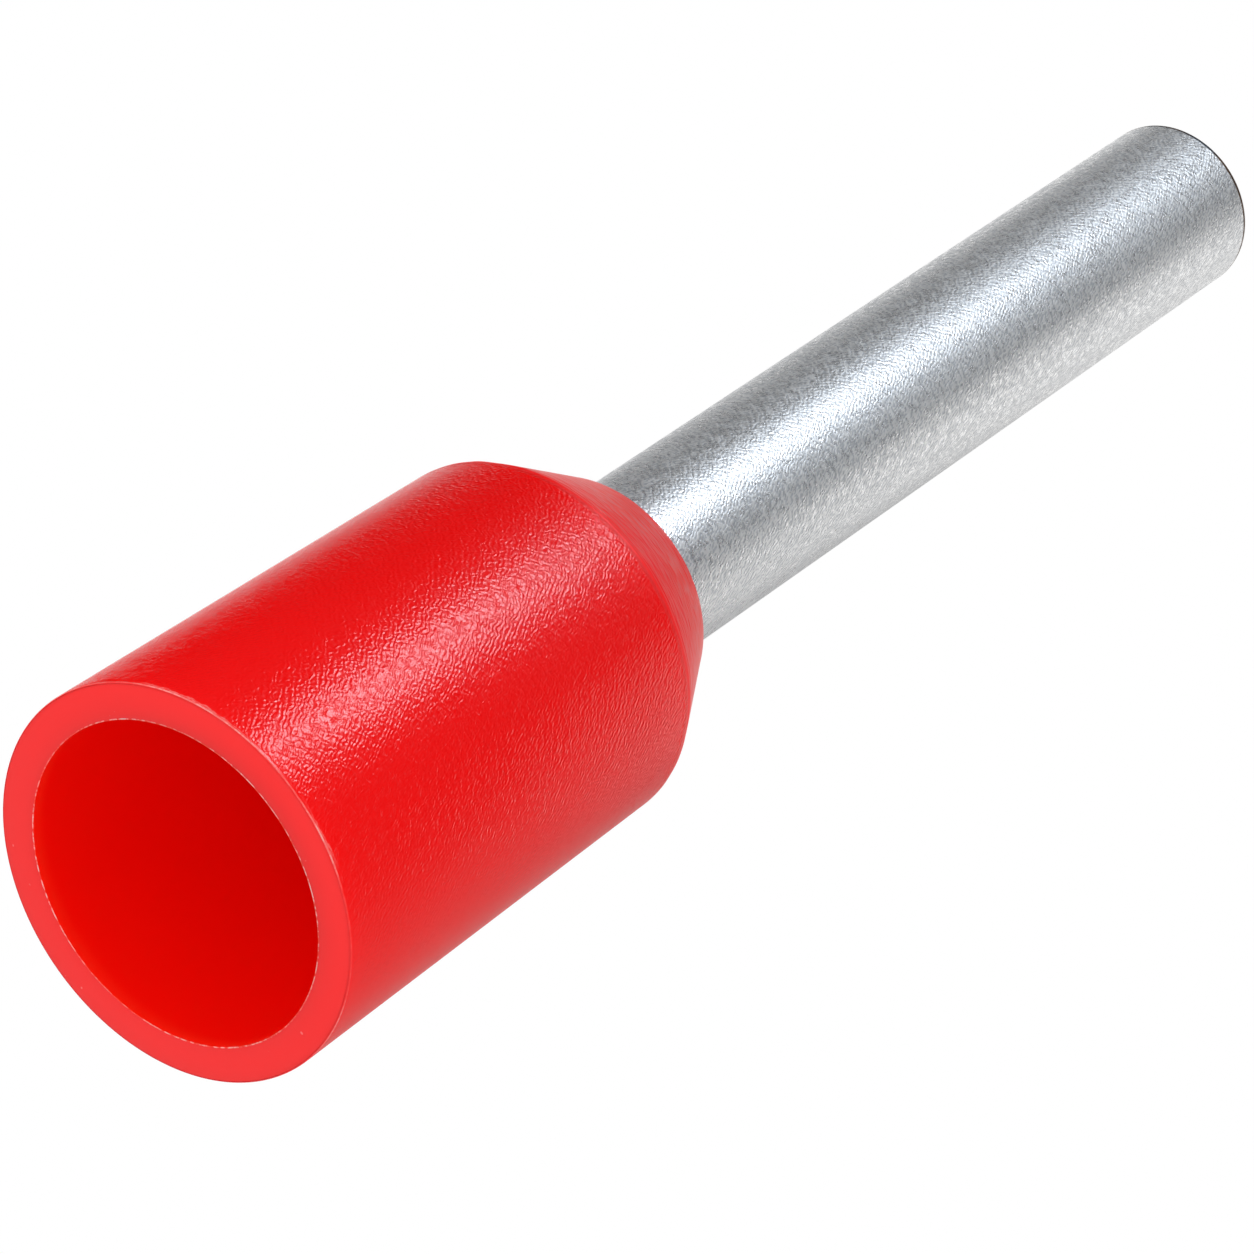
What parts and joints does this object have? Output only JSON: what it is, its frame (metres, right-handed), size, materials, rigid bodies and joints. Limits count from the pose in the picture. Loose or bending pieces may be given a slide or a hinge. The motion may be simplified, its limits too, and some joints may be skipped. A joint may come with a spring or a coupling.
{
  "type": "insulated wire ferrule",
  "caption": "Straight metal crimp tube with an open tip, wedged by its flared end in a round red plastic collar whose wide mouth takes the wire's insulation.",
  "frame": {"origin": "centre of the collar's mouth, in the plane of the mouth face, which is the bottom centre of the bounding box", "axes": "+Z along the ferrule's axis from the mouth to the tip of the tube; the part is round about Z, so X and Y are free"},
  "size_m": [0.0036, 0.0036, 0.016],
  "materials": {
    "collar_plastic": "fine spark-eroded grain outside, smooth bore, frosted mouth face",
    "tinned_copper": "satin tin plating with a fine orange-peel crinkle"
  },
  "bodies": {
    "root": {"insulating_collar": "collar_plastic", "crimp_sleeve": "tinned_copper"}
  },
  "joints": []
}
